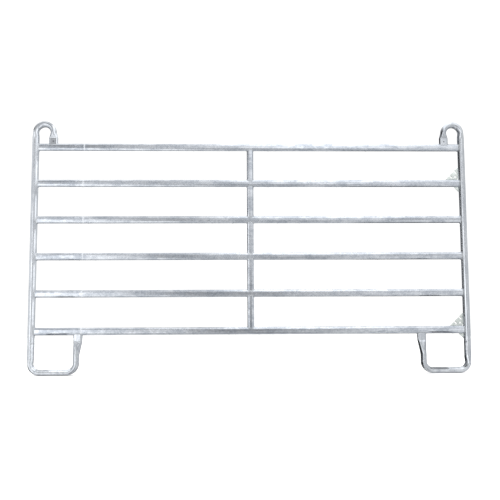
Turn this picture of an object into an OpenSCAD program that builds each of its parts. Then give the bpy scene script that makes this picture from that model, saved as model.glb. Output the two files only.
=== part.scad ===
// Livestock panel gate: six flat-oval rails between two bent end tubes, with short
// stays between the rails at mid-length and chain plates in two corners of one end.
// All pieces are hot-dip galvanised steel, coped and welded face to face.
// Millimetres. Origin on the ground under the middle of the panel.
// +X runs along the panel to the chain-plate end, +Y to the back, +Z up.

/* [Panel] */
// Length over the two end posts
panel_w = 2970; // [1600:10:4200]
// Rail spacing, centre to centre
rail_pitch = 250; // [190:5:320]
// Height of the bottom rail's centre above the ground
foot_drop = 290; // [250:5:400]
// Height of the loop tops above the top rail's centre
loop_rise = 180; // [160:5:240]

/* [End tubes] */
// Outside diameter of the round post
post_d = 48.3; // [40:0.1:60]
// Wall of the post tube
post_wall = 2; // [1.5:0.1:3.2]
// Centre-line radius of every bend
bend_r = 60; // [50:1:75]
// Tube thickness in the plane of the bends, where bending has squashed it
bend_thin = 41; // [36:1:46]
// Distance from the post's axis to the foot leg's axis
foot_w = 300; // [220:5:420]
// Length over which the round post turns into the squashed section
squash_len = 32; // [15:1:34]
// Width of the flattened tube ends along the panel
flat_w = 61; // [54:1:66]
// Thickness of the flattened tube ends
flat_t = 27; // [22:0.5:28]
// Length of the flattened part beside a rail
flat_len = 40; // [25:1:46]
// Length of the foot leg's taper from squashed to flattened
foot_taper = 95; // [50:1:110]
// Diameter of the vent hole in the loop's flattened end
vent_d = 8; // [5:0.5:12]
// Height of the vent hole above the top rail's upper edge
vent_up = 15; // [10:1:25]

/* [Rails and stays] */
// Height of the flat-oval rail
rail_h = 50; // [40:1:60]
// Depth of the flat-oval rail
rail_t = 30; // [29:1:40]
// Wall of the rail tube
rail_wall = 1.5; // [1.2:0.1:2.5]
// Width of the flat-oval stay along the panel
stay_w = 46; // [36:1:56]
// Depth of the flat-oval stay
stay_t = 28; // [22:1:28]
// Wall of the stay tube
stay_wall = 1.5; // [1.2:0.1:2.5]

/* [Plates] */
// Leg of the triangular chain plate along the rail and along the post
plate_leg = 86; // [70:1:120]
// Thickness of the chain plates and gussets
plate_t = 5; // [4:0.5:8]
// Clipped corner of the chain plate, which clears the weld
plate_clip = 12; // [6:1:16]
// Blunt end at each tip of a plate
plate_tip = 4; // [2:0.5:8]
// Diameter of the shackle hole
hole_d = 13; // [9:0.5:18]
// Distance of the shackle hole from the rail and from the post
hole_in = 21; // [16:1:30]
// Width of each chain slot
slot_w = 8; // [6:0.5:10]
// Depth of each chain slot from the sloping edge
slot_deep = 26; // [16:1:28]
// Distance between the two chain slots along the sloping edge
slot_gap = 46; // [36:1:60]
// Leg of the small gusset along the rail
gusset_x = 30; // [22:1:50]
// Leg of the small gusset along the post
gusset_z = 33; // [22:1:50]
// Clipped corner of the small gusset
gusset_clip = 9; // [5:1:12]

/* [Hidden] */

// The panel always has six rails and a stay in each of the five gaps between them
rail_count = 6;
// Places, all worked out from the sizes above
post_x = panel_w / 2 - post_d / 2;
bottom_z = foot_drop;
top_z = bottom_z + (rail_count - 1) * rail_pitch;
rail_zs = [for (i = [0:rail_count - 1]) top_z - i * rail_pitch];
// The girth of the tube stays the same where it is squashed, so it grows wider in depth
bend_wide = sqrt(2 * post_d * post_d - bend_thin * bend_thin);
foot_spring = bend_thin / 2 + bend_r;
loop_spring = top_z + loop_rise - bend_thin / 2 - bend_r;
loop_leg_x = 2 * bend_r;
loop_flat_top = top_z + rail_h / 2 + flat_len;
foot_flat_low = bottom_z - rail_h / 2 - flat_len;
foot_taper_low = foot_flat_low - foot_taper;
// Sides of the squashed and flattened sections, and smoothness of true circles
sides = 40;
round_fn = 96;
// Step where a lofted stretch meets a round or flattened one, so that their edges stay apart
seat_in = 0.05;
// Overshoot of cutting tools
over = 1;

steel = "#c3c7cc";
steel_light = "#cdd1d6";
steel_plate = "#b4b9bf";

// Points of a section w wide along X and d deep along Y
function oval(w, d) =
    [for (i = [0:sides - 1]) [w / 2 * cos(360 * i / sides), d / 2 * sin(360 * i / sides)]];

// Flat-oval with semicircular ends: long along X, short along Y
module flat_oval(long, short) {
    square([long - short, short], center = true);
    for (s = [-1, 1])
        translate([s * (long - short) / 2, 0]) circle(d = short, $fn = round_fn);
}

// Solid flat-oval bar along X from x0 to x1 at height z, standing on its edge
module rail_bar(x0, x1, z, h = rail_h, t = rail_t) {
    translate([x0, 0, z]) rotate([0, 90, 0]) linear_extrude(height = x1 - x0) flat_oval(h, t);
}

// Section loft along Z from w0 x d0 up to w1 x d1, with its edge at x = 0 kept straight
module loft(height, w0, d0, w1, d1) {
    linear_extrude(height = height, scale = [w1 / w0, d1 / d0], slices = 1)
        translate([w0 / 2, 0]) polygon(oval(w0, d0));
}

// The same loft with its axis kept straight
module loft_centred(height, w0, d0, w1, d1) {
    linear_extrude(height = height, scale = [w1 / w0, d1 / d0], slices = 1) polygon(oval(w0, d0));
}

// Bend about a Y axis at the origin, from angle "from" round by "turn" degrees
module bend(from, turn, inset) {
    rotate([90, 0, 0]) rotate([0, 0, from]) rotate_extrude(angle = turn, $fn = round_fn)
        translate([bend_r, 0]) polygon(oval(bend_thin - 2 * inset, bend_wide - 2 * inset));
}

// Round post between its two bends, with a squashed stretch at each end
module post_run(inset) {
    d = post_d - 2 * inset;
    d_seat = d - 2 * seat_in;
    thin = bend_thin - 2 * inset;
    wide = bend_wide - 2 * inset;
    low = foot_spring + squash_len;
    high = loop_spring - squash_len;
    translate([0, 0, low]) cylinder(d = d, h = high - low, $fn = round_fn);
    translate([0, 0, foot_spring]) loft_centred(squash_len, thin, wide, d_seat, d_seat);
    translate([0, 0, loop_spring]) mirror([0, 0, 1])
        loft_centred(squash_len, thin, wide, d_seat, d_seat);
}

// Top loop: half circle, then a leg that tapers flat and lands on the top rail
module loop_run(inset) {
    thin = bend_thin - 2 * inset;
    wide = bend_wide - 2 * inset;
    flat = flat_w - 2 * inset;
    depth = flat_t - 2 * inset;
    translate([bend_r, 0, loop_spring]) bend(0, 180, inset);
    translate([loop_leg_x, 0, loop_spring]) mirror([0, 0, 1])
        loft_centred(loop_spring - loop_flat_top, thin, wide, flat, depth);
    translate([loop_leg_x, 0, top_z]) linear_extrude(height = loop_flat_top - top_z)
        polygon(oval(flat + 2 * seat_in, depth + 2 * seat_in));
}

// Foot loop: two quarter bends, the ground run, and a leg that tapers flat under the rail
module foot_run(inset) {
    thin = bend_thin - 2 * inset;
    wide = bend_wide - 2 * inset;
    flat = flat_w - 2 * inset;
    depth = flat_t - 2 * inset;
    inner_edge = foot_w - thin / 2;
    translate([bend_r, 0, foot_spring]) bend(180, 90, inset);
    translate([bend_r, 0, bend_thin / 2]) rotate([0, 90, 0])
        linear_extrude(height = foot_w - 2 * bend_r) polygon(oval(thin, wide));
    translate([foot_w - bend_r, 0, foot_spring]) bend(270, 90, inset);
    translate([foot_w, 0, foot_spring])
        linear_extrude(height = foot_taper_low - foot_spring) polygon(oval(thin, wide));
    translate([inner_edge, 0, foot_taper_low]) loft(foot_taper, thin, wide, flat, depth);
    translate([inner_edge + flat / 2, 0, foot_flat_low])
        linear_extrude(height = bottom_z - foot_flat_low)
            polygon(oval(flat + 2 * seat_in, depth + 2 * seat_in));
}

module tube_run(inset) {
    post_run(inset);
    loop_run(inset);
    foot_run(inset);
}

// One end tube with its post on the Z axis and its loop and foot towards +X
module end_tube() {
    difference() {
        tube_run(0);
        tube_run(post_wall);
        rail_bar(loop_leg_x - flat_w, loop_leg_x + flat_w, top_z);
        rail_bar(foot_w - flat_w, foot_w + 2 * flat_w, bottom_z);
        translate([loop_leg_x, flat_t, top_z + rail_h / 2 + vent_up]) rotate([90, 0, 0])
            cylinder(d = vent_d, h = 2 * flat_t, $fn = round_fn);
    }
}

// Full round of a post, which cuts the pieces that butt against it
module post_cut(side) {
    translate([side * post_x, 0, 0]) cylinder(d = post_d, h = top_z + loop_rise, $fn = round_fn);
}

module rail(z) {
    difference() {
        rail_bar(-post_x, post_x, z);
        rail_bar(-post_x - over, post_x + over, z, rail_h - 2 * rail_wall, rail_t - 2 * rail_wall);
        post_cut(-1);
        post_cut(1);
    }
}

// Stay between the rail at height z_high and the next one down
module stay(z_high) {
    z_low = z_high - rail_pitch;
    difference() {
        translate([0, 0, z_low]) linear_extrude(height = rail_pitch) flat_oval(stay_w, stay_t);
        translate([0, 0, z_low - over]) linear_extrude(height = rail_pitch + 2 * over)
            flat_oval(stay_w - 2 * stay_wall, stay_t - 2 * stay_wall);
        rail_bar(-stay_w, stay_w, z_high);
        rail_bar(-stay_w, stay_w, z_low);
    }
}

// Triangle with clipped corner and blunt tips, in XZ, its square corner at the origin;
// it reaches towards -X and +Z, and "into" mm past the corner lines to be coped later
module corner_outline(leg_x, leg_z, clip, into) {
    polygon([[-clip, -into], [-leg_x, -into], [-leg_x, plate_tip], [-plate_tip, leg_z],
             [into, leg_z], [into, clip], [0, clip], [-clip, 0]]);
}

// Plate of the corner outline, centred on the panel's mid-plane
module corner_plate(leg_x, leg_z, clip, into) {
    rotate([90, 0, 0]) translate([0, 0, -plate_t / 2]) linear_extrude(height = plate_t)
        difference() {
            corner_outline(leg_x, leg_z, clip, into);
            children();
        }
}

// Slot from the sloping edge inwards, "along" mm from the middle of that edge
module chain_slot(along) {
    middle = (plate_leg + plate_tip) / 2;
    translate([-middle, middle]) rotate(45)
        translate([along, 0]) {
            translate([-slot_w / 2, -slot_deep + slot_w / 2]) square([slot_w, 2 * slot_deep]);
            translate([0, -slot_deep + slot_w / 2]) circle(d = slot_w, $fn = round_fn);
        }
}

// Chain plate on top of the rail at height z, in its corner with the right post
module chain_plate(z) {
    into = rail_t / 2;
    difference() {
        translate([post_x - post_d / 2, 0, z + rail_h / 2])
            corner_plate(plate_leg, plate_leg, plate_clip, into) {
                translate([-hole_in, hole_in]) circle(d = hole_d, $fn = round_fn);
                for (s = [-1, 1]) chain_slot(s * slot_gap / 2);
            }
        post_cut(1);
        rail_bar(post_x - post_d / 2 - 2 * plate_leg, post_x, z);
    }
}

// Small gusset under the rail at height z, in its corner with the right post
module corner_gusset(z) {
    into = rail_t / 2;
    difference() {
        translate([post_x - post_d / 2, 0, z - rail_h / 2]) mirror([0, 0, 1])
            corner_plate(gusset_x, gusset_z, gusset_clip, into);
        post_cut(1);
        rail_bar(post_x - post_d / 2 - 2 * gusset_x, post_x, z);
    }
}

module left_end_tube() { color(steel) translate([-post_x, 0, 0]) end_tube(); }
module right_end_tube() { color(steel) translate([post_x, 0, 0]) mirror([1, 0, 0]) end_tube(); }
module top_rail() { color(steel_light) rail(rail_zs[0]); }
module second_rail() { color(steel_light) rail(rail_zs[1]); }
module third_rail() { color(steel_light) rail(rail_zs[2]); }
module fourth_rail() { color(steel_light) rail(rail_zs[3]); }
module fifth_rail() { color(steel_light) rail(rail_zs[4]); }
module bottom_rail() { color(steel_light) rail(rail_zs[5]); }
module first_stay() { color(steel) stay(rail_zs[0]); }
module second_stay() { color(steel) stay(rail_zs[1]); }
module third_stay() { color(steel) stay(rail_zs[2]); }
module fourth_stay() { color(steel) stay(rail_zs[3]); }
module fifth_stay() { color(steel) stay(rail_zs[4]); }
module upper_chain_plate() { color(steel_plate) chain_plate(rail_zs[1]); }
module lower_chain_plate() { color(steel_plate) chain_plate(rail_zs[5]); }
module upper_corner_gusset() { color(steel_plate) corner_gusset(rail_zs[1]); }
module lower_corner_gusset() { color(steel_plate) corner_gusset(rail_zs[5]); }

left_end_tube();
right_end_tube();
top_rail();
second_rail();
third_rail();
fourth_rail();
fifth_rail();
bottom_rail();
first_stay();
second_stay();
third_stay();
fourth_stay();
fifth_stay();
upper_chain_plate();
lower_chain_plate();
upper_corner_gusset();
lower_corner_gusset();
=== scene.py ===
"""Galvanised livestock panel: bent end tubes, flat-oval rails and stays, chain plates and welds."""

import logging
import math
import random
from collections.abc import Sequence
from dataclasses import dataclass, field
from enum import Enum

import bmesh
import bpy
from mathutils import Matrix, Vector, geometry, noise


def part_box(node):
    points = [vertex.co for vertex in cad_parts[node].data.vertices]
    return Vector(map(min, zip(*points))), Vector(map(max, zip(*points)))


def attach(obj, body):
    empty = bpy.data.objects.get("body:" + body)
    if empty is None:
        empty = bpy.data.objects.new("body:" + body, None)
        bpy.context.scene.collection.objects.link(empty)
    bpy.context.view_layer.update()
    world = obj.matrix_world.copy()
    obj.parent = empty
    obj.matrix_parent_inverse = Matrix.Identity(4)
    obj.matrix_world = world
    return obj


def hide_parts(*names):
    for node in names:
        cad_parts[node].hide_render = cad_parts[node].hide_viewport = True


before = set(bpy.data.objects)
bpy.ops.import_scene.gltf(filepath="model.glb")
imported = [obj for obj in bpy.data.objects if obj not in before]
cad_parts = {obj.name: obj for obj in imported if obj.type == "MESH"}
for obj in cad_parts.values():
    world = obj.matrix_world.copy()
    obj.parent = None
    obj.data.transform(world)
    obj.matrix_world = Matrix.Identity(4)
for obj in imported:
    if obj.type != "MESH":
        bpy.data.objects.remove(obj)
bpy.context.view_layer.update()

logging.basicConfig(level=logging.INFO, format="%(message)s")
log = logging.getLogger("panel")

MM = 0.001
CIRCLE_POINTS = 40
# Points along each half circle, and spans along each flat side, of a seam round a flat-oval end
SEAM_POINTS = (19, 6)
RAIL_NODES = ("top_rail", "second_rail", "third_rail", "fourth_rail", "fifth_rail", "bottom_rail")
STAY_NODES = ("first_stay", "second_stay", "third_stay", "fourth_stay", "fifth_stay")

Ring = list[Vector]
Point2 = tuple[float, float]
Point3 = tuple[float, float, float]
Mesh = bpy.types.Mesh
Object = bpy.types.Object
Material = bpy.types.Material
Tree = bpy.types.NodeTree
Socket = bpy.types.NodeSocket


class Side(Enum):
    """End of the panel, valued by the sign of X it lies at."""

    LEFT = -1
    RIGHT = 1

    @property
    def word(self) -> str:
        """Name of the end in lower case."""
        return self.name.lower()


class Slot(Enum):
    """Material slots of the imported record."""

    TUBE = "galvanised_tube"
    RAIL = "galvanised_rail"
    PLATE = "galvanised_plate"


# ---------------------------------------------------------------- small mesh and colour tools


def mix(low: float, high: float, share: float) -> float:
    """Value a share of the way from low to high."""
    return low + (high - low) * share


def ease(share: float) -> float:
    """Smooth step from 0 to 1, held flat outside that range."""
    held = min(1.0, max(0.0, share))
    return held * held * (3 - 2 * held)


def circle(centre: Point2, radius: float) -> list[Point2]:
    """Points round a circle in the panel's plane."""
    turns = [2 * math.pi * i / CIRCLE_POINTS for i in range(CIRCLE_POINTS)]
    return [(centre[0] + radius * math.cos(t), centre[1] + radius * math.sin(t)) for t in turns]


def to_linear(code: str) -> tuple[float, float, float, float]:
    """Turns an sRGB hex colour into the linear RGBA that shaders take.

    Args:
        code: Colour such as "#c8ccd0".

    Returns:
        Linear red, green, blue and a full alpha.
    """
    parts = [int(code[i : i + 2], 16) / 255 for i in (1, 3, 5)]
    lin = [p / 12.92 if p <= 0.04045 else ((p + 0.055) / 1.055) ** 2.4 for p in parts]
    return lin[0], lin[1], lin[2], 1.0


def skin(rings: Sequence[Ring], loop: bool = False) -> Mesh:
    """Joins rings of points into one closed surface.

    Args:
        rings: Rings in order, each with the same number of points.
        loop: Joins the last ring to the first instead of closing both ends with a cap.

    Returns:
        A mesh whose faces all look outwards.
    """
    count = len(rings[0])
    verts = [p for ring in rings for p in ring]
    faces: list[tuple[int, ...]] = []
    spans = len(rings) if loop else len(rings) - 1
    for i in range(spans):
        here, there = i * count, (i + 1) % len(rings) * count
        for j in range(count):
            k = (j + 1) % count
            faces.append((here + j, here + k, there + k, there + j))
    if not loop:
        faces.append(tuple(range(count - 1, -1, -1)))
        faces.append(tuple(range((len(rings) - 1) * count, len(rings) * count)))
    mesh = bpy.data.meshes.new("skin")
    mesh.from_pydata(verts, [], faces)
    return face_outwards(mesh)


def face_outwards(mesh: Mesh) -> Mesh:
    """Turns every face of a closed mesh to look outwards, and returns the mesh."""
    bm = bmesh.new()
    bm.from_mesh(mesh)
    bmesh.ops.recalc_face_normals(bm, faces=bm.faces)
    bm.to_mesh(mesh)
    bm.free()
    return mesh


def merge(meshes: Sequence[Mesh]) -> Mesh:
    """Puts several meshes side by side in one, and removes the originals."""
    bm = bmesh.new()
    for part in meshes:
        bm.from_mesh(part)
        bpy.data.meshes.remove(part)
    whole = bpy.data.meshes.new("merged")
    bm.to_mesh(whole)
    bm.free()
    return whole


def add_piece(
    name: str,
    mesh: Mesh,
    finish: Material,
    stands_for: str | None = None,
    sharp_deg: float = 38,
) -> Object:
    """Puts a finished mesh in the scene as a piece of the panel's one rigid body.

    Args:
        name: Name of the piece.
        mesh: Its mesh, in the panel's frame.
        finish: Material all over it.
        stands_for: CAD node that the piece is shown in place of.
        sharp_deg: Edges turning by more than this angle stay crisp.

    Returns:
        The new object.
    """
    mesh.name = name
    mesh.materials.clear()
    mesh.materials.append(finish)
    mesh.shade_smooth()
    mesh.set_sharp_from_angle(angle=math.radians(sharp_deg))
    piece = bpy.data.objects.new(name, mesh)
    bpy.context.scene.collection.objects.link(piece)
    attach(piece, "root")
    if stands_for:
        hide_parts(stands_for)
    return piece


def cut(body: Mesh, tools: Sequence[Mesh]) -> Mesh:
    """Takes closed tool shapes out of a closed body.

    Args:
        body: Mesh to cut.
        tools: Closed meshes to take away, one after another.

    Returns:
        The cut mesh.
    """
    for tool in tools:
        body_obj = bpy.data.objects.new("cut_body", body)
        tool_obj = bpy.data.objects.new("cut_tool", tool)
        for obj in (body_obj, tool_obj):
            bpy.context.scene.collection.objects.link(obj)
        step = body_obj.modifiers.new("cut", "BOOLEAN")
        step.operation = "DIFFERENCE"
        step.solver = "EXACT"
        step.object = tool_obj
        bpy.context.view_layer.update()
        graph = bpy.context.evaluated_depsgraph_get()
        result = bpy.data.meshes.new_from_object(body_obj.evaluated_get(graph))
        for obj in (body_obj, tool_obj):
            bpy.data.objects.remove(obj)
        bpy.data.meshes.remove(tool)
        body = result
    return body


# ---------------------------------------------------------------- places, from the frame


@dataclass
class PanelPlan:
    """Places of the panel's members, read from the frame's own boxes, and its stock sizes, in metres."""

    post_r: float = 24.15 * MM
    rail_h: float = 50 * MM
    rail_t: float = 30 * MM
    stay_w: float = 46 * MM
    stay_t: float = 28 * MM
    plate_t: float = 5 * MM
    post_x: float = field(init=False)
    top: float = field(init=False)
    rail_z: dict[str, float] = field(init=False)

    def __post_init__(self) -> None:
        """Reads the places from the frame."""
        self.post_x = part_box("right_end_tube")[1].x - self.post_r
        self.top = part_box("right_end_tube")[1].z
        self.rail_z = {node: (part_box(node)[0].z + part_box(node)[1].z) / 2 for node in RAIL_NODES}

    @property
    def top_z(self) -> float:
        """Height of the top rail's axis."""
        return self.rail_z[RAIL_NODES[0]]

    @property
    def bottom_z(self) -> float:
        """Height of the bottom rail's axis."""
        return self.rail_z[RAIL_NODES[-1]]

    def crown(self, y: float) -> float:
        """Height of a rail's rounded edge above its axis, at depth y."""
        r = self.rail_t / 2
        return self.rail_h / 2 - r + math.sqrt(max(0.0, r * r - y * y))

    def post_face(self, y: float) -> float:
        """Distance from the panel's middle to a post's inner surface, at depth y."""
        return self.post_x - math.sqrt(max(0.0, self.post_r**2 - y * y))


# ---------------------------------------------------------------- finishes


def add_node(
    tree: Tree,
    kind: str,
    settings: dict[str | int, object] | None = None,
    links: dict[str | int, Socket] | None = None,
) -> bpy.types.Node:
    """Adds one shader node.

    Args:
        tree: Node tree to add it to.
        kind: Type of shader node, such as "Math".
        settings: Values by name of the node's own property, or by name or number of an input.
        links: Sockets to link, by name or number of the input they feed.

    Returns:
        The new node.
    """
    node = tree.nodes.new(f"ShaderNode{kind}")
    for key, value in (settings or {}).items():
        if isinstance(key, str) and key not in node.inputs and hasattr(node, key):
            setattr(node, key, value)
        else:
            node.inputs[key].default_value = value
    for key, source in (links or {}).items():
        tree.links.new(source, node.inputs[key])
    return node


def blank_material(name: str) -> Material:
    """Makes a material whose node tree is empty."""
    material = bpy.data.materials.new(name)
    material.use_nodes = True
    material.node_tree.nodes.clear()
    return material


@dataclass(frozen=True)
class HotDipZinc:
    """Hot-dip galvanised steel: a bright, slightly blue zinc skin with crystals, clouds and lumps.

    The bath leaves crystals about a thumbnail wide, each turned its own way, so that neighbours
    catch the light differently; the skin runs thicker and duller in patches.
    """

    name: str
    light: str
    dark: str
    roughness: float
    crystal_mm: float = 11
    cloud_mm: float = 34
    patch_mm: float = 210
    lump_mm: float = 46
    grain_mm: float = 2.6
    lump_height_mm: float = 0.14
    grain_height_mm: float = 0.003
    crystal_height_mm: float = 0.008
    stretch: Point3 = (1, 1, 1)
    mark_x_mm: float | None = None

    def _layered(
        self,
        tree: Tree,
        layers: Sequence[tuple[Socket, Point2, Point2]],
        base: Socket | None = None,
    ) -> Socket:
        """Adds up layers, each mapped from one range to another and held at its ends.

        Args:
            tree: Node tree to build in.
            layers: For each layer its value, its given range and the range wanted.
            base: Value that the layers are added to, if any.

        Returns:
            The sum.
        """
        total = base
        for value, given, wanted in layers:
            ends = {"From Min": given[0], "From Max": given[1], "To Min": wanted[0], "To Max": wanted[1]}
            layer = add_node(
                tree, "MapRange", {"interpolation_type": "SMOOTHSTEP", **ends}, {"Value": value}
            ).outputs["Result"]
            if total is None:
                total = layer
            else:
                total = add_node(tree, "Math", {"operation": "ADD"}, {0: total, 1: layer}).outputs[0]
        return total

    def _mark(self, tree: Tree, place: Socket, cloud: Socket) -> Socket:
        """Pale upright mark across the stock, 1 on it and 0 off it; what left it is not known."""
        along = add_node(tree, "SeparateXYZ", {}, {0: place}).outputs["X"]
        along = self._layered(tree, [(cloud, (0.3, 0.7), (-3 * MM, 3 * MM))], along)
        off = add_node(tree, "Math", {"operation": "SUBTRACT", 1: self.mark_x_mm * MM}, {0: along})
        far = add_node(tree, "Math", {"operation": "ABSOLUTE"}, {0: off.outputs[0]})
        return self._layered(tree, [(far.outputs[0], (3 * MM, 8 * MM), (1, 0))])

    def material(self) -> Material:
        """Builds the finish as a node material.

        Returns:
            The material.
        """
        made = blank_material(self.name)
        tree = made.node_tree
        place = add_node(tree, "TexCoord").outputs["Object"]
        drawn = add_node(tree, "Mapping", {"Scale": self.stretch}, {"Vector": place}).outputs["Vector"]
        ragged = add_node(
            tree,
            "TexNoise",
            {"Scale": 1 / (0.6 * self.crystal_mm * MM), "Detail": 3.0},
            {"Vector": place},
        )
        shift = add_node(
            tree,
            "VectorMath",
            {"operation": "MULTIPLY_ADD", 1: (self.crystal_mm * MM * 0.9,) * 3},
            {0: ragged.outputs["Color"], 2: place},
        )
        crystals = add_node(
            tree,
            "TexVoronoi",
            {"Scale": 1 / (self.crystal_mm * MM), "Randomness": 1.0},
            {"Vector": shift.outputs[0]},
        )
        tones = add_node(tree, "SeparateColor", {}, {0: crystals.outputs["Color"]})
        cloud, patch, lump, grain = (
            add_node(
                tree,
                "TexNoise",
                {"Scale": 1 / (size_mm * MM), "Detail": detail, "Roughness": 0.55},
                {"Vector": source},
            ).outputs["Fac"]
            for source, size_mm, detail in (
                (drawn, self.cloud_mm, 4),
                (drawn, self.patch_mm, 2),
                (drawn, self.lump_mm, 1),
                (place, self.grain_mm, 3),
            )
        )
        each = (self.roughness - 0.03, self.roughness + 0.03)
        tone_layers = [
            (tones.outputs[0], (0, 1), (0, 0.26)),
            (cloud, (0.4, 0.6), (0, 0.4)),
            (patch, (0.35, 0.65), (0, 0.22)),
        ]
        dull_layers = [
            (tones.outputs[1], (0, 1), each),
            (patch, (0.4, 0.62), (-0.03, 0.06)),
            (cloud, (0.4, 0.62), (0.04, -0.04)),
        ]
        if self.mark_x_mm is not None:
            mark = self._mark(tree, place, cloud)
            tone_layers.append((mark, (0, 1), (0, 0.55)))
            dull_layers.append((mark, (0, 1), (0, 0.16)))
        tone, dull = self._layered(tree, tone_layers), self._layered(tree, dull_layers)
        colour = add_node(
            tree,
            "Mix",
            {"data_type": "RGBA", 6: to_linear(self.dark), 7: to_linear(self.light)},
            {0: tone},
        )
        bumps: dict[str, Socket] = {}
        for height, deep_mm in (
            (lump, self.lump_height_mm),
            (tones.outputs[2], self.crystal_height_mm),
            (grain, self.grain_height_mm),
        ):
            bump = add_node(
                tree,
                "Bump",
                {"Strength": 1.0, "Distance": deep_mm * MM},
                {"Height": height, **bumps},
            )
            bumps = {"Normal": bump.outputs[0]}
        shader = add_node(
            tree,
            "BsdfPrincipled",
            {"Metallic": 1.0},
            {"Base Color": colour.outputs[2], "Roughness": dull, **bumps},
        )
        add_node(tree, "OutputMaterial", {}, {"Surface": shader.outputs[0]})
        return made


# Cold-bent tube: the skin runs down it in the bath, so its clouds are drawn out upright
TUBE_ZINC = HotDipZinc(
    "zinc_on_bent_tube", light="#dde1e6", dark="#bcc1c8", roughness=0.17, stretch=(1, 1, 0.3)
)
# Roll-formed flat-oval stock: smoother and brighter, with one pale mark across it near the left end
RAIL_ZINC = HotDipZinc(
    "zinc_on_rolled_rail",
    light="#e9edf3",
    dark="#adb4be",
    roughness=0.16,
    stretch=(0.35, 1, 1),
    mark_x_mm=-1130,
)
# Laser-cut plate: cut steel takes a thicker, paler and duller skin
PLATE_ZINC = HotDipZinc(
    "zinc_on_cut_plate", light="#e8edeb", dark="#d0d7d4", roughness=0.46, crystal_mm=7
)
# Weld metal under zinc: lumpy, dull and pale
WELD_ZINC = HotDipZinc(
    "zinc_on_weld_bead",
    light="#dcdfe2",
    dark="#a2a8ad",
    roughness=0.36,
    crystal_mm=4,
    lump_mm=6,
    grain_mm=1.2,
)


@dataclass(frozen=True)
class FloorPaper:
    """Matt white studio paper, which keeps the ground plain and pale."""

    name: str = "studio_paper"
    white: str = "#f7f7f7"
    roughness: float = 0.9

    def material(self) -> Material:
        """Builds the paper as a node material."""
        made = blank_material(self.name)
        shader = add_node(
            made.node_tree,
            "BsdfPrincipled",
            {"Base Color": to_linear(self.white), "Roughness": self.roughness, "Specular IOR Level": 0.1},
        )
        add_node(made.node_tree, "OutputMaterial", {}, {"Surface": shader.outputs[0]})
        return made


# ---------------------------------------------------------------- end tubes


@dataclass
class Station:
    """Cross-section of a bent tube: its centre in the panel's plane, and its shape there.

    Attributes:
        x: Centre, measured from the post's axis towards the panel's middle.
        z: Height of the centre.
        out: Unit direction, in the panel's plane, from the centre to the outer side.
        a: Half size along out.
        b: Half depth.
        press: How far the faces are pressed flat, from 0 to 1.
        dish: How deep the pressed faces are hollowed.
        lean: Sideways shift of the hollow, as a share of a.
        squash: How far bending has flattened the outer wall, from 0 to 1.
    """

    x: float
    z: float
    out: Point2
    a: float
    b: float
    press: float = 0.0
    dish: float = 0.0
    lean: float = 0.0
    squash: float = 0.0

    def inset(self, wall: float) -> "Station":
        """Same section, smaller all round by the tube's wall."""
        return Station(self.x, self.z, self.out, self.a - wall, self.b - wall, self.press)


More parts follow.
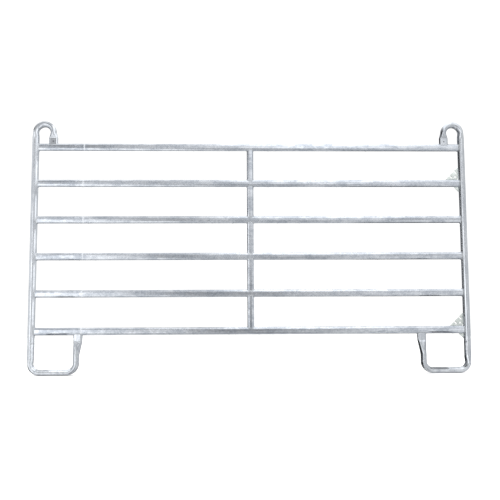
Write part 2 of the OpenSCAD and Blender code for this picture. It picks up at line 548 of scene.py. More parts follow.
@dataclass
class EndTube:
    """Tube bent from one length: post, top carrying loop and foot loop, with pressed ends."""

    side: Side
    plan: PanelPlan
    bend_r: float = 60 * MM
    bend_a: float = 20.5 * MM
    bend_b: float = 27.25 * MM
    flat_a: float = 30.5 * MM
    flat_b: float = 13.5 * MM
    flat_len: float = 40 * MM
    foot_w: float = 300 * MM
    foot_taper: float = 95 * MM
    squash_len: float = 32 * MM
    squash_steps: int = 8
    run_squash: float = 0.25
    hollow: float = 2.4 * MM
    wall: float = 2 * MM
    vent_r: float = 4 * MM
    vent_up: float = 15 * MM
    points: int = 72
    dent: float = 0.22 * MM
    collapse: float = 2.6 * MM
    shoulder: float = 0.6
    lean: float = 0.0

    @property
    def node(self) -> str:
        """CAD node that the tube stands for."""
        return f"{self.side.word}_end_tube"

    @property
    def loop_x(self) -> float:
        """Distance from the post's axis to the top loop's leg."""
        return 2 * self.bend_r

    @property
    def loop_spring(self) -> float:
        """Height at which the top loop's half circle begins."""
        return self.plan.top - self.bend_a - self.bend_r

    @property
    def foot_spring(self) -> float:
        """Height at which the foot's bends end."""
        return self.bend_a + self.bend_r

    def _taper(self, x_inner: float | None, z_flat: float, z_round: float, steps: int) -> list[Station]:
        """Sections from the pressed end to the squashed round one.

        Args:
            x_inner: Edge kept straight, or None to keep the loop leg's axis straight.
            z_flat: Height where the pressed flat ends.
            z_round: Height where the tube is round again.
            steps: Number of sections.

        Returns:
            Sections from z_flat to z_round.
        """
        made = []
        for i in range(steps + 1):
            v = i / steps
            a = mix(self.flat_a, self.bend_a, v)
            swell = 0.30 * ease(v / 0.16) + 0.70 * v
            b = mix(self.flat_b, self.bend_b, swell)
            hollow = self.hollow * ease(v / 0.1) * (1 - v) ** 1.2
            x = self.loop_x if x_inner is None else x_inner + a
            press = (1 - v) ** 0.7
            made.append(Station(x, mix(z_flat, z_round, v), (1, 0), a, b, press, hollow, self.lean * v))
        return made

    def _bend(self, x: float, z: float, start: float, stop: float, steps: int) -> list[Station]:
        """Squashed sections round a bend.

        Args:
            x: Centre of the bend, from the post's axis.
            z: Height of the centre.
            start: Angle of the first section, in degrees.
            stop: Angle of the last one.
            steps: Number of spans.

        Returns:
            Sections in order.
        """
        made = []
        for i in range(steps + 1):
            angle = math.radians(mix(start, stop, i / steps))
            out = (math.cos(angle), math.sin(angle))
            made.append(
                Station(
                    x + self.bend_r * out[0],
                    z + self.bend_r * out[1],
                    out,
                    self.bend_a,
                    self.bend_b,
                    squash=mix(self.run_squash, 1, ease(min(i, steps - i) / (0.25 * steps))),
                )
            )
        return made

    def _loop_leg(self) -> list[Station]:
        """Pressed leg of the top loop, from the rail up to the bend."""
        rail_top = self.plan.top_z + self.plan.rail_h / 2
        flat_top = rail_top + self.flat_len
        made = [
            Station(self.loop_x, mix(rail_top, flat_top, i / 14), (1, 0), self.flat_a, self.flat_b, 1)
            for i in range(14)
        ]
        return made + self._taper(None, flat_top, self.loop_spring, 16)

    def _foot_leg(self) -> list[Station]:
        """Leg of the foot loop, from the bend up to its pressed end under the rail."""
        inner = self.foot_w - self.bend_a
        rail_low = self.plan.bottom_z - self.plan.rail_h / 2
        flat_low = rail_low - self.flat_len
        taper = self._taper(inner, flat_low, flat_low - self.foot_taper, 40)[::-1]
        low = taper[0].z
        straight = [
            Station(self.foot_w, mix(self.foot_spring, low, i / 6), (1, 0), self.bend_a, self.bend_b)
            for i in range(1, 6)
        ]
        x = inner + self.flat_a
        flat = [
            Station(x, mix(flat_low, rail_low, i / 14), (1, 0), self.flat_a, self.flat_b, 1)
            for i in range(1, 15)
        ]
        return straight + taper + flat

    def _squashed(self, start: float, leaving_round: bool) -> list[Station]:
        """Change of section between a bend and the round post, going down from a height."""
        made = []
        r = self.plan.post_r
        for i in range(1, self.squash_steps):
            share = i / self.squash_steps
            a, b = (
                mix(r, half, share) if leaving_round else mix(half, r, share)
                for half in (self.bend_a, self.bend_b)
            )
            made.append(Station(0, start - share * self.squash_len, (-1, 0), a, b))
        return made

    def _post(self, steps: int = 90) -> list[Station]:
        """Round post, coming down, with a squashed stretch at each end."""
        top, bottom = self.loop_spring - self.squash_len, self.foot_spring + self.squash_len
        r = self.plan.post_r
        middle = [Station(0, mix(top, bottom, i / steps), (-1, 0), r, r) for i in range(steps + 1)]
        return self._squashed(self.loop_spring, False) + middle + self._squashed(bottom, True)

    def _ground_run(self) -> list[Station]:
        """Straight run along the ground, between the foot's two bends."""
        first, last = self.bend_r, self.foot_w - self.bend_r
        return [
            Station(
                mix(first, last, i / 16),
                self.bend_a,
                (0, -1),
                self.bend_a,
                self.bend_b,
                squash=self.run_squash,
            )
            for i in range(1, 16)
        ]

    def _section(self, at: Station) -> list[Point2]:
        """Outline of one section, as distances along its out direction and in depth."""
        shape = []
        crisp = 0.05 + 0.33 * at.press
        spread = at.press * max(0.0, at.a - at.b)
        lid = math.sqrt(1 - crisp * crisp)
        for i in range(self.points):
            angle = 2 * math.pi * i / self.points
            across, deep = math.cos(angle), math.sin(angle)
            place = min(1.0, max(-1.0, across / crisp))
            u = spread * place + (at.a - spread) * across
            flat = math.copysign(min(1.0, abs(deep) / lid), deep)
            v = at.b * mix(deep, flat, at.press)
            off = abs(u / at.a - at.lean) / (0.2 + 0.5 * at.press)
            v -= math.copysign(at.dish * (1 - ease(off)), deep) if abs(across) < 0.9 else 0.0
            if at.squash and across > 0:
                hollow = self.collapse * max(0.0, 1 - (v / (0.66 * at.b)) ** 2) ** 2
                u = mix(u, at.a * across**self.shoulder - hollow, at.squash)
            shape.append((u, v))
        return shape

    def _ring(self, at: Station, cope: float | None = None) -> Ring:
        """Places a section in the panel's frame.

        Args:
            at: The section.
            cope: Rail axis whose crown the ring is cut to, or None for a flat ring.

        Returns:
            The ring's points.
        """
        ring = []
        for u, v in self._section(at):
            x, z = at.x + at.out[0] * u, at.z + at.out[1] * u
            if cope is not None:
                z = cope + math.copysign(self.plan.crown(v), at.z - cope)
            wave = noise.noise(Vector((x * 9, v * 14, z * 9 + 7 * self.side.value)))
            size = 1 - max(0.0, wave) * self.dent / self.plan.post_r
            x = at.x + (x - at.x) * size
            ring.append(Vector((self.side.value * (self.plan.post_x - x), v * size, z)))
        return ring

    def _vent(self) -> Mesh:
        """Round drill through both walls of the loop's pressed end."""
        x = self.side.value * (self.plan.post_x - self.loop_x)
        z = self.plan.top_z + self.plan.rail_h / 2 + self.vent_up
        hole = circle((x, z), self.vent_r)
        rings = [[Vector((u, y, v)) for u, v in hole] for y in (-self.flat_a, self.flat_a)]
        return skin(rings)

    def build(self, finish: Material) -> Object:
        """Builds the tube as one closed shell with its vent, hollow behind it.

        Args:
            finish: Material of the tube.

        Returns:
            The tube's object.
        """
        first_bend = self._bend(self.bend_r, self.loop_spring, 0, 180, 44)
        low_bend = self._bend(self.bend_r, self.foot_spring, 180, 270, 24)
        last_bend = self._bend(self.foot_w - self.bend_r, self.foot_spring, 270, 360, 24)
        leg = self._loop_leg()
        path = leg + first_bend[1:] + self._post() + low_bend + self._ground_run() + last_bend
        path += self._foot_leg()
        rings = [self._ring(at) for at in path[1:-1]]
        rings.insert(0, self._ring(path[0], cope=self.plan.top_z))
        rings.append(self._ring(path[-1], cope=self.plan.bottom_z))
        chamber = skin([self._ring(at.inset(self.wall)) for at in leg[2:-2]])
        mesh = cut(skin(rings), [chamber, self._vent()])
        return add_piece(self.node, mesh, finish, self.node)


# ---------------------------------------------------------------- rails and stays


def flat_oval(long: float, short: float, arc_points: int = 17, side_points: int = 4) -> list[Point2]:
    """Outline of flat-oval stock: half circles joined by flat sides.

    Args:
        long: Size over the half circles.
        short: Size over the flat sides.
        arc_points: Points along each half circle.
        side_points: Spans along each flat side.

    Returns:
        Points as (along the long size, along the short size).
    """
    r = short / 2
    reach = long / 2 - r
    shape = []
    for sign in (1, -1):
        for i in range(arc_points):
            angle = math.pi * (i / (arc_points - 1) - 0.5)
            shape.append((sign * (reach + r * math.cos(angle)), sign * r * math.sin(angle)))
        for i in range(1, side_points):
            shape.append((sign * mix(reach, -reach, i / side_points), sign * r))
    return shape


@dataclass
class Rail:
    """Flat-oval rail standing on edge, cut to the posts at both ends."""

    node: str
    plan: PanelPlan
    step: float = 12 * MM
    bow: float = 0.45 * MM

    def build(self, finish: Material) -> Object:
        """Builds the rail with the slight waviness that rolled stock has."""
        z0 = self.plan.rail_z[self.node]
        outline = flat_oval(self.plan.rail_h, self.plan.rail_t)
        reach = self.plan.post_face(0) - 4 * MM
        count = round(2 * reach / self.step)
        rings = []
        for i in range(-1, count + 2):
            share = min(1.0, max(0.0, i / count))
            x = mix(-reach, reach, share)
            calm = math.sin(math.pi * share) ** 0.5
            lean = self.bow * calm * noise.noise(Vector((x * 2.6, z0 * 5, 3)))
            twist = 0.012 * calm * noise.noise(Vector((x * 3.1, z0 * 7, 11)))
            ring = []
            for h, t in outline:
                y = t + lean + h * twist
                if i in (-1, count + 1):
                    x = math.copysign(self.plan.post_face(y), i)
                ring.append(Vector((x, y, z0 + h)))
            rings.append(ring)
        return add_piece(self.node, skin(rings), finish, self.node)


@dataclass
class Stay:
    """Upright flat-oval stay between two rails, cut to their rounded edges."""

    node: str
    plan: PanelPlan
    above: str
    below: str
    spans: int = 18

    def build(self, finish: Material) -> Object:
        """Builds the stay."""
        high, low = self.plan.rail_z[self.above], self.plan.rail_z[self.below]
        outline = flat_oval(self.plan.stay_w, self.plan.stay_t)
        inner_high = high - self.plan.rail_h / 2 - 2 * MM
        inner_low = low + self.plan.rail_h / 2 + 2 * MM
        rings = [[Vector((x, y, high - self.plan.crown(y))) for x, y in outline]]
        for i in range(self.spans + 1):
            z = mix(inner_high, inner_low, i / self.spans)
            wave = 0.25 * MM * noise.noise(Vector((2.2, z * 8, 5)))
            rings.append([Vector((x, y + wave, z)) for x, y in outline])
        rings.append([Vector((x, y, low + self.plan.crown(y))) for x, y in outline])
        return add_piece(self.node, skin(rings), finish, self.node)


# ---------------------------------------------------------------- plates


@dataclass
class CornerPlate:
    """Flat plate in the corner between the right post and a rail."""

    node: str
    plan: PanelPlan
    rail: str
    leg_x: float
    leg_z: float
    clip: float
    above: bool
    tip: float = 4 * MM
    hole_in: float = 21 * MM
    hole_r: float = 6.5 * MM
    slot_w: float = 8 * MM
    slot_deep: float = 26 * MM
    slot_gap: float = 46 * MM
    edge: float = 0.7 * MM
    slotted: bool = False

    def corner(self) -> Vector:
        """Meeting point of the post's inner line and the rail's edge."""
        half = self.plan.rail_h / 2
        z = self.plan.rail_z[self.rail] + (half if self.above else -half)
        return Vector((self.plan.post_x - self.plan.post_r, 0, z))

    def _slot_points(self, along: float, mid: Vector, run: Vector, inward: Vector) -> list[Vector]:
        """Points round one open slot, from its mouth in, round its end and out again."""
        r = self.slot_w / 2
        depth = self.slot_deep - r
        centre = mid + run * along + inward * depth
        arc = [
            centre + run * (-r * math.cos(math.pi * i / 12)) + inward * (r * math.sin(math.pi * i / 12))
            for i in range(13)
        ]
        return [mid + run * (along - r), *arc, mid + run * (along + r)]

    def _outline(self) -> list[Vector]:
        """Outer outline, its square corner at the origin, reaching towards -X and +Z."""
        sink = 0.6 * MM
        low_end = Vector((-self.leg_x, 0, self.tip))
        high_end = Vector((-self.tip, 0, self.leg_z))
        points = [Vector((-self.clip, 0, -sink)), Vector((-self.leg_x, 0, -sink)), low_end]
        if self.slotted:
            run = (high_end - low_end).normalized()
            inward = Vector((run.z, 0, -run.x))
            mid = (low_end + high_end) / 2
            for along in (-self.slot_gap / 2, self.slot_gap / 2):
                points += self._slot_points(along, mid, run, inward)
        points += [high_end, Vector((sink, 0, self.leg_z)), Vector((sink, 0, self.clip))]
        return points + [Vector((0, 0, self.clip)), Vector((-self.clip, 0, 0))]

    def build(self, finish: Material) -> Object:
        """Builds the plate with slightly rounded cut edges."""
        loops = [self._outline()]
        if self.slotted:
            hole = circle((-self.hole_in, self.hole_in), self.hole_r)
            loops.append([Vector((u, 0, v)) for u, v in hole])
        flip = 1 if self.above else -1
        corner = self.corner()
        half = Vector((0, self.plan.plate_t / 2, 0))
        flat = [corner + Vector((p.x, 0, flip * p.z)) for loop in loops for p in loop]
        tris = geometry.tessellate_polygon([[p.xzy for p in loop] for loop in loops])
        count = len(flat)
        faces = [tuple(t) for t in tris] + [tuple(i + count for i in reversed(t)) for t in tris]
        start = 0
        for loop in loops:
            n = len(loop)
            for i in range(n):
                a, b = start + i, start + (i + 1) % n
                faces.append((a, b, b + count, a + count))
            start += n
        mesh = bpy.data.meshes.new(self.node)
        mesh.from_pydata([p - half for p in flat] + [p + half for p in flat], [], faces)
        bm = bmesh.new()
        bm.from_mesh(mesh)
        bmesh.ops.recalc_face_normals(bm, faces=bm.faces)
        bmesh.ops.dissolve_limit(
            bm, angle_limit=math.radians(1), verts=bm.verts, edges=bm.edges, delimit={"NORMAL"}
        )
        sharp = [e for e in bm.edges if len(e.link_faces) == 2 and e.calc_face_angle() > 1.2]
        bmesh.ops.bevel(
            bm, geom=sharp, offset=self.edge, segments=2, profile=0.6, affect="EDGES", clamp_overlap=True
        )
        bm.to_mesh(mesh)
        bm.free()
        return add_piece(self.node, mesh, finish, self.node)


# ---------------------------------------------------------------- welds and zinc runs


@dataclass
class Seam:
    """Line that a weld follows, with the way out of the corner at each point."""

    points: list[Vector]
    outs: list[Vector]
    loop: bool = True
    radius: float = 3.3 * MM


@dataclass
class WeldBead:
    """Weld beads of one joint: rippled, slightly uneven fillets half sunk in their corners."""

    name: str
    seams: list[Seam]
    seed: int
    ripple: float = 3.1 * MM
    pitch: float = 0.9 * MM
    sides: int = 10

    def _resample(self, seam: Seam) -> tuple[list[Vector], list[Vector]]:
        """Spaces a seam's points evenly, close enough to carry the ripples."""
        points = seam.points + ([seam.points[0]] if seam.loop else [])
        outs = seam.outs + ([seam.outs[0]] if seam.loop else [])
        spots, ways = [], []
        for i in range(len(points) - 1):
            length = (points[i + 1] - points[i]).length
            steps = max(1, round(length / self.pitch))
            for k in range(steps):
                spots.append(points[i].lerp(points[i + 1], k / steps))
                ways.append(outs[i].lerp(outs[i + 1], k / steps).normalized())
        if not seam.loop:
            spots.append(points[-1])
            ways.append(outs[-1])
        return spots, ways

    def _bead(self, seam: Seam) -> Mesh:
        """Builds one bead along its seam."""
        spots, ways = self._resample(seam)
        count = len(spots)
        rings = []
        run = 0.0
        for i, (spot, way) in enumerate(zip(spots, ways)):
            before, after = spots[i - 1] if i or seam.loop else spot, spots[(i + 1) % count]
            if not seam.loop and i == count - 1:
                after = spot
            along = (after - before).normalized()
            run += (spot - spots[i - 1]).length if i else 0.0
            side = along.cross(way).normalized()
            up = side.cross(along).normalized()
            place = Vector((spot.x * 90, spot.y * 90 + self.seed, spot.z * 90))
            swell = 1 + 0.14 * noise.noise(place) + 0.09 * math.sin(2 * math.pi * run / self.ripple)
            if not seam.loop:
                ends = min(i, count - 1 - i) / 4
                swell *= math.sqrt(min(1.0, 0.12 + ends))
            r = seam.radius * swell
            lift = 0.10 * r + 0.3 * MM * noise.noise(place * 0.6)
            rings.append(
                [
                    spot + up * (lift + r * 0.86 * math.cos(2 * math.pi * k / self.sides))
                    + side * (r * 1.12 * math.sin(2 * math.pi * k / self.sides))
                    for k in range(self.sides)
                ]
            )
        return skin(rings, loop=seam.loop)

    def build(self, finish: Material) -> Object:
        """Builds all beads of the joint as one piece."""
        mesh = merge([self._bead(seam) for seam in self.seams])
        return add_piece(self.name, mesh, finish, sharp_deg=80)


def rail_end_seam(plan: PanelPlan, node: str, side: Side) -> Seam:
    """Seam round a rail's end, on the post.

    Args:
        plan: Places of the members.
        node: The rail's node.
        side: End of the panel.

    Returns:
        The closed seam.
    """
    points, outs = [], []
    z0 = plan.rail_z[node]
    for h, t in flat_oval(plan.rail_h, plan.rail_t, *SEAM_POINTS):
        reach = max(-1.0, min(1.0, h / (plan.rail_h / 2)))
        points.append(Vector((side.value * plan.post_face(t), t, z0 + h)))
        away = Vector((0, t / (plan.rail_t / 2), reach)).normalized()
        outs.append((away + Vector((-0.8 * side.value, 0, 0))).normalized())
    return Seam(points, outs)


def cope_seam(plan: PanelPlan, rail: str, x0: float, size: Point2, below: bool, radius: float) -> Seam:
    """Seam round the coped end of a stay or a pressed tube, on the rounded edge of a rail.

    Args:
        plan: Places of the members.
        rail: Node of the rail that the end meets.
        x0: Place of the end's axis along the panel.
        size: Width and depth of the end.
        below: True where the end hangs below that rail.
        radius: Half size of the bead.

    Returns:
        The closed seam.
    """
    points, outs = [], []
    sign = -1 if below else 1
    for w, t in flat_oval(*size, *SEAM_POINTS):
        points.append(Vector((x0 + w, t, plan.rail_z[rail] + sign * plan.crown(t))))
        away = Vector((w / (size[0] / 2), t / (size[1] / 2), 0)).normalized()
        outs.append((away + Vector((0, 0, 0.7 * sign))).normalized())
    return Seam(points, outs, radius=radius)


def plate_seams(plate: CornerPlate) -> list[Seam]:
    """Fillets on both faces of a plate, along the post and along the rail."""
    corner = plate.corner()
    flip = 1 if plate.above else -1
    half = plate.plan.plate_t / 2
    seams = []
    for face in (-1, 1):
        y = face * half
        post_line = [
            corner + Vector((-0.2 * MM, y, flip * mix(plate.clip, plate.leg_z - 2 * MM, i / 6)))
            for i in range(7)
        ]
        rail_line = [
            corner + Vector((-mix(plate.clip, plate.leg_x - 2 * MM, i / 6), y, 0)) for i in range(7)
        ]
        seams.append(Seam(post_line, [Vector((-0.6, face, 0)).normalized()] * 7, False, 2.6 * MM))
        seams.append(Seam(rail_line, [Vector((0, face, 0.6 * flip)).normalized()] * 7, False, 2.6 * MM))
    return seams


@dataclass
class ZincRuns:
    """Drops and runs of zinc that froze on the undersides as the panel left the bath."""

    plan: PanelPlan
    seed: int = 23
    per_rail: int = 26
    turns: int = 10
    tiers: int = 5

    def _drop(self, spot: Vector, half_x: float, half_y: float, height: float) -> Mesh:
        """Low rounded drop hanging from a spot on a rail's lower edge."""
        rings = []
        for tier in range(self.tiers):
            lift = math.radians(mix(-35, 82, tier / (self.tiers - 1)))
            rings.append(
                [
                    spot
                    + Vector(
                        (
                            half_x * math.cos(lift) * math.cos(2 * math.pi * k / self.turns),
                            half_y * math.cos(lift) * math.sin(2 * math.pi * k / self.turns),
                            -height * math.sin(lift),
                        )
                    )
                    for k in range(self.turns)
                ]
            )
        return skin(rings)

    def build(self, node: str, finish: Material) -> Object:
        """Builds the drops under one rail.

        Args:
            node: The rail's node.
            finish: Material of the drops.

        Returns:
            One object holding all the rail's drops.
        """
        dice = random.Random(self.seed + RAIL_NODES.index(node))
        reach = self.plan.post_face(0) - 30 * MM
        drops = []
        for _ in range(self.per_rail):
            x = dice.uniform(-reach, reach)
            y = dice.uniform(-8, 8) * MM
            z = self.plan.rail_z[node] - self.plan.crown(y)
            long = dice.uniform(1.6, 6.5) * MM
            wide = dice.uniform(1.3, 2.6) * MM
            drops.append(self._drop(Vector((x, y, z)), long, wide, dice.uniform(0.5, 1.7) * MM))
        return add_piece(f"zinc_drops_{node}", merge(drops), finish, sharp_deg=80)


# ---------------------------------------------------------------- studio


# Brightness by heading, in rows by height, all in degrees: heading 0 is straight out from the front and 90
# straight out from the right end. The dark sector round -95 gives the right post its dark edge.
SKY: dict[float, dict[float, float]] = {
    -90: {-180: 0.85, 180: 0.85},
    -60: {-180: 0.6, -60: 0.9, -12: 0.9, -5: 0.5, 8: 0.5, 30: 0.8, 180: 0.6},
    -32: {
        -180: 0.34, -146: 0.4, -122: 0.08, -68: 0.08, -54: 0.9, -14: 0.9, -6: 0.3, 8: 0.34,
        16: 0.9, 60: 0.8, 180: 0.34,
    },
    -6: {
        -180: 0.4, -146: 0.5, -122: 0, -68: 0, -54: 0.9, -46: 1.1, -30: 1.5, -13: 1.5, -7: 0.6,
        3: 0.32, 8: 0.5, 13: 1.0, 17: 1.1, 50: 0.8, 110: 0.8, 180: 0.4,
    },
    1: {
        -180: 0.7, -146: 0.7, -122: 0, -68: 0, -54: 0.9, -46: 1.1, -30: 1.9, -12: 1.85,
        -8: 0.8, -4: 0.45, 4: 0.42, 8: 0.5, 13: 1.0, 17: 1.1, 50: 0.8, 110: 0.9, 180: 0.7,
    },
    7: {
        -180: 0.8, -146: 0.75, -122: 0, -68: 0, -54: 0.8, -46: 1.0, -30: 1.8, -13: 1.6,
        -8: 0.68, -4: 0.45, 7: 0.86, 12: 0.52, 20: 0.5, 50: 0.75, 110: 0.9, 180: 0.8,
    },
    11: {
        -180: 0.8, -146: 0.75, -122: 0, -68: 0, -54: 0.7, -46: 0.8, -20: 1.0, -13: 0.6,
        -5: 0.62, 0: 0.9, 7: 1.25, 18: 0.95, 50: 0.7, 180: 0.8,
    },
    15: {
        -180: 0.7, -146: 0.7, -122: 0, -68: 0, -54: 0.6, -20: 0.5, -12: 0.42, -5: 0.72, 0: 1.0,
        7: 1.75, 18: 1.1, 50: 0.8, 180: 0.7,
    },
    26: {
        -180: 0.7, -146: 0.65, -122: 0.08, -68: 0.08, -54: 0.5, -12: 0.36, 0: 0.8, 8: 1.2,
        20: 0.9, 60: 0.8, 180: 0.7,
    },
    50: {-180: 0.8, -60: 1.2, -10: 1.3, 5: 1.1, 20: 0.8, 60: 0.8, 180: 0.8},
    90: {-180: 1.0, 180: 1.0},
}


@dataclass(frozen=True)
class LevelCard:
    """Level card that only the zinc mirrors: its spans along X and Y, its height and its glow."""

    name: str
    along: Point2
    deep: Point2
    height: float
    glow: float


CARD_CEILING = 3.7
LEVEL_CARDS = (
    LevelCard("overhead_card", (-0.25, 1.9), (-6, 2.5), CARD_CEILING, 1.7),
    LevelCard("side_overhead_card", (1.9, 4), (-6, 2.5), CARD_CEILING, 1.35),
    LevelCard("front_card", (-4, -0.6), (-4.4, -1), 0, 1.3),
    LevelCard("middle_card", (-0.6, 4), (-4.4, -1), 0, 0.75),
    # Near-black card on the floor behind the right end, mirrored as a dark band in the undersides at the
    # right end
    LevelCard("dark_floor_card", (0.9, 1.9), (0.12, 1.4), 0, 0.08),
    # Grey card on the floor under the left foot: painted contact shadow, mirrored as a dark line in the
    # undersides at the left end
    LevelCard("foot_shadow_card", (-1.45, -1.15), (-0.02, 0.3), 0, 0.4),
)


@dataclass
class Studio:
    """Plain pale floor, soft surroundings and the camera.

    The zinc mirrors the surroundings, a few cards, white flags beside the left post and small shades
    over both ground runs. None of these is seen directly or lights the floor.
    """

    plan: PanelPlan
    floor_front: float = 3.6
    floor_back: float = 9.0
    floor_side: float = 9.0
    lens: float = 50.0
    sensor: float = 36.0
    eye: Point3 = (-0.1278, -4.683, 0.3752)
    aim_deg: Point3 = (95.576, 0.281, -1.498)
    backdrop: float = 1.12
    overhead: float = 3.4
    softness_deg: float = 70
    flag_near: Point2 = (-1.2, -0.05)
    flag_far: Point2 = (-1.26, -0.32)
    flag_clear: float = 40 * MM
    flag_glow: float = 1.5
    end_card_x: float = -1.72
    shade_in: Point2 = (0.08, 0.22)
    shade_deep: tuple[Point2, ...] = ((-0.22, -0.035), (0.035, 0.2))
    shade_z: Point2 = (0.2, 0.202)
    shade_glow: float = 0.1

    def _row(self, tree: Tree, heading: Socket, row: dict[float, float]) -> Socket:
        """Brightness round one height, as a ramp over the heading."""
        ramp = add_node(tree, "ValToRGB", {}, {"Fac": heading})
        ramp.color_ramp.interpolation = "EASE"
        marks = sorted(row.items())
        stops = ramp.color_ramp.elements
        while len(stops) < len(marks):
            stops.new(0.5)
        for stop, (degrees, value) in zip(stops, marks):
            stop.position = (degrees + 180) / 360
            stop.color = (value / 2, value / 2, value / 2, 1)
        return ramp.outputs["Color"]

    def surround(self) -> None:
        """Builds the soft surroundings that the zinc mirrors, and the white backdrop."""
        world = bpy.data.worlds.new("soft_surroundings")
        bpy.context.scene.world = world
        world.use_nodes = True
        tree = world.node_tree
        tree.nodes.clear()
        way = add_node(tree, "TexCoord").outputs["Generated"]
        parts = add_node(tree, "SeparateXYZ", {}, {0: way}).outputs
        front = add_node(tree, "Math", {"operation": "MULTIPLY", 1: -1.0}, {0: parts["Y"]}).outputs[0]
        turn = add_node(tree, "Math", {"operation": "ARCTAN2"}, {0: parts["X"], 1: front}).outputs[0]
        heading = add_node(
            tree, "Math", {"operation": "MULTIPLY_ADD", 1: 0.5 / math.pi, 2: 0.5}, {0: turn}
        ).outputs[0]
        height = add_node(tree, "Math", {"operation": "ARCSINE"}, {0: parts["Z"]}).outputs[0]
        heights = sorted(SKY)
        tone = self._row(tree, heading, SKY[heights[0]])
        for low, high in zip(heights, heights[1:]):
            share = add_node(
                tree,
                "MapRange",
                {"From Min": math.radians(low), "From Max": math.radians(high)},
                {"Value": height},
            ).outputs["Result"]
            tone = add_node(
                tree,
                "Mix",
                {"data_type": "RGBA"},
                {0: share, 6: tone, 7: self._row(tree, heading, SKY[high])},
            ).outputs[2]
        seen = add_node(tree, "LightPath").outputs["Is Camera Ray"]
        soft = add_node(tree, "Background", {"Strength": 2.0}, {"Color": tone}).outputs[0]
        white = add_node(
            tree, "Background", {"Color": (1, 1, 1, 1), "Strength": self.backdrop}
        ).outputs[0]
        both = add_node(tree, "MixShader", {}, {0: seen, 1: soft, 2: white}).outputs[0]
        add_node(tree, "OutputWorld", {}, {"Surface": both})

    def floor(self) -> Object:
        """Lays the pale floor, a touch below the feet."""
        x, low = self.floor_side, -0.2 * MM
        mesh = bpy.data.meshes.new("floor")
        corners = [
            (-x, -self.floor_front, low),
            (x, -self.floor_front, low),
            (x, self.floor_back, low),
            (-x, self.floor_back, low),
        ]
        mesh.from_pydata(corners, [], [(0, 1, 2, 3)])
        mesh.materials.append(FloorPaper().material())
        ground = bpy.data.objects.new("floor", mesh)
        bpy.context.scene.collection.objects.link(ground)
        ground.visible_glossy = False
        return ground

    def card(self, name: str, corners: Sequence[Point3], glow: float) -> None:
        """Stands a flat card that only shows as a reflection in the zinc.

        Args:
            name: Name of the card.
            corners: Its four corners in order.
            glow: Its brightness, 0 for black.
        """
        mesh = bpy.data.meshes.new(name)
        mesh.from_pydata(list(corners), [], [(0, 1, 2, 3)])
        paper = blank_material(name)
        shine = add_node(paper.node_tree, "Emission", {"Strength": glow})
        add_node(paper.node_tree, "OutputMaterial", {}, {"Surface": shine.outputs[0]})
        mesh.materials.append(paper)
        card = bpy.data.objects.new(name, mesh)
        bpy.context.scene.collection.objects.link(card)
        card.visible_camera = False
        card.visible_diffuse = False
        card.visible_shadow = False

    def lamp(self) -> None:
        """Hangs a very wide, soft overhead light, which keeps the floor an even white."""
        data = bpy.data.lights.new("overhead_soft_light", "SUN")
        data.energy = self.overhead
        data.angle = math.radians(self.softness_deg)
        lamp = bpy.data.objects.new("overhead_soft_light", data)
        lamp.rotation_euler = (math.radians(12), 0, 0)
        lamp.visible_glossy = False
        bpy.context.scene.collection.objects.link(lamp)

    def level_card(self, card: LevelCard) -> None:
        """Lays one level card."""
        (x0, x1), (y0, y1), z = card.along, card.deep, card.height
        self.card(card.name, [(x0, y0, z), (x1, y0, z), (x1, y1, z), (x0, y1, z)], card.glow)

    def end_card(self, deep: float = 0.2, low: float = 0.03, high: float = 1.75) -> None:
        """Stands a white card past the left end, which keeps the left post bright."""
        x = self.end_card_x
        self.card("end_card", [(x, -deep, low), (x, deep, low), (x, deep, high), (x, -deep, high)], 1.0)

    def foot_shades(self) -> None:
        """Hangs small shades over both ground runs: white below on the left, dark on the right."""
        for side, under in ((-1, 2.0), (1, 0.15)):
            along = tuple(sorted(side * (self.plan.post_x - inset) for inset in self.shade_in))
            for deep in self.shade_deep:
                for height, glow in zip(self.shade_z, (under, self.shade_glow)):
                    self.level_card(LevelCard("foot_shade", along, deep, height, glow))

    def bright_flags(self) -> None:
        """Stands white flags edge on to the camera's reflections, for the left post to mirror."""
        levels = [0.0, *sorted(self.plan.rail_z.values()), self.plan.top + 0.1]
        for i, (below, above) in enumerate(zip(levels, levels[1:])):
            low, high = below + self.flag_clear, above - self.flag_clear
            near, far = self.flag_near, self.flag_far
            corners = [(*near, low), (*far, low), (*far, high), (*near, high)]
            self.card(f"bright_flag_{i}", corners, self.flag_glow)

    def camera(self) -> None:
        """Sets the camera low in front of the panel."""
        data = bpy.data.cameras.new("camera")
        data.lens = self.lens
        data.sensor_width = self.sensor
        data.clip_start = 0.05
        data.clip_end = 100
        eye = bpy.data.objects.new("camera", data)
        eye.location = self.eye
        eye.rotation_euler = [math.radians(a) for a in self.aim_deg]
        bpy.context.scene.collection.objects.link(eye)
        bpy.context.scene.camera = eye

    def build(self) -> None:
        """Sets up the whole studio."""
        self.surround()
        self.floor()
        self.lamp()
        for card in LEVEL_CARDS:
            self.level_card(card)
        self.end_card()
        self.foot_shades()
        self.bright_flags()
        self.camera()
        bpy.context.scene.view_settings.view_transform = "Standard"


# ---------------------------------------------------------------- the panel


def corner_plates(plan: PanelPlan) -> list[CornerPlate]:
    """Chain plates above two rails and gussets below them, at the right post."""
    made = []
    for level, rail in (("upper", RAIL_NODES[1]), ("lower", RAIL_NODES[5])):
        made.append(
            CornerPlate(f"{level}_chain_plate", plan, rail, 86 * MM, 86 * MM, 12 * MM, True, slotted=True)
        )
        made.append(CornerPlate(f"{level}_corner_gusset", plan, rail, 30 * MM, 33 * MM, 9 * MM, False))
    return made


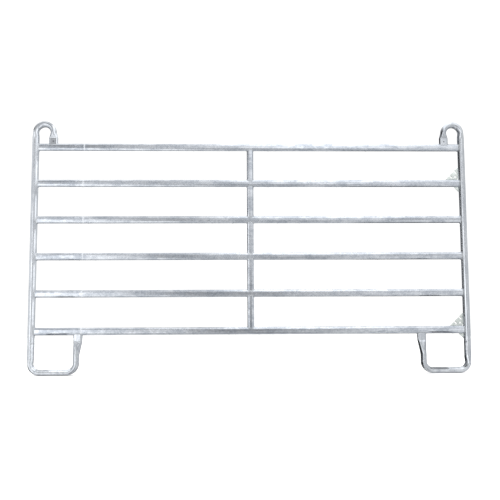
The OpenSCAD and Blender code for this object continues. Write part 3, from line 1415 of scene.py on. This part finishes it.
def all_welds(plan: PanelPlan, tubes: list[EndTube], plates: list[CornerPlate]) -> list[WeldBead]:
    """Lists the weld beads of every joint.

    Args:
        plan: Places of the members.
        tubes: Both end tubes.
        plates: Chain plates and gussets.

    Returns:
        One group of beads for each rail, stay, tube and plate.
    """
    beads = []
    for i, node in enumerate(RAIL_NODES):
        seams = [rail_end_seam(plan, node, side) for side in Side]
        beads.append(WeldBead(f"weld_{node}", seams, i))
    for i, node in enumerate(STAY_NODES):
        seams = [
            cope_seam(plan, RAIL_NODES[i + step], 0, (plan.stay_w, plan.stay_t), not step, 2.9 * MM)
            for step in (0, 1)
        ]
        beads.append(WeldBead(f"weld_{node}", seams, 20 + i))
    for i, tube in enumerate(tubes):
        size = (2 * tube.flat_a, 2 * tube.flat_b)
        foot_x = tube.foot_w - tube.bend_a + tube.flat_a
        ends = ((RAIL_NODES[0], tube.loop_x, False), (RAIL_NODES[-1], foot_x, True))
        seams = [
            cope_seam(plan, rail, tube.side.value * (plan.post_x - x), size, below, 2.8 * MM)
            for rail, x, below in ends
        ]
        beads.append(WeldBead(f"weld_{tube.node}", seams, 40 + i))
    for i, plate in enumerate(plates):
        beads.append(WeldBead(f"weld_{plate.node}", plate_seams(plate), 60 + i))
    return beads


def main() -> None:
    """Builds the panel's pieces in order, then the studio."""
    plan = PanelPlan()
    tube_zinc, rail_zinc = TUBE_ZINC.material(), RAIL_ZINC.material()
    plate_zinc, weld_zinc = PLATE_ZINC.material(), WELD_ZINC.material()
    tubes = [EndTube(Side.LEFT, plan, lean=0.35), EndTube(Side.RIGHT, plan)]
    plates = corner_plates(plan)
    made = [tube.build(tube_zinc) for tube in tubes]
    made += [Rail(node, plan).build(rail_zinc) for node in RAIL_NODES]
    made += [
        Stay(node, plan, RAIL_NODES[i], RAIL_NODES[i + 1]).build(rail_zinc)
        for i, node in enumerate(STAY_NODES)
    ]
    made += [plate.build(plate_zinc) for plate in plates]
    made += [bead.build(weld_zinc) for bead in all_welds(plan, tubes, plates)]
    runs = ZincRuns(plan)
    made += [runs.build(node, weld_zinc) for node in RAIL_NODES]
    for piece in made:
        log.info("%s: %d faces", piece.name, len(piece.data.polygons))
    Studio(plan).build()


if __name__ == "__main__":
    main()
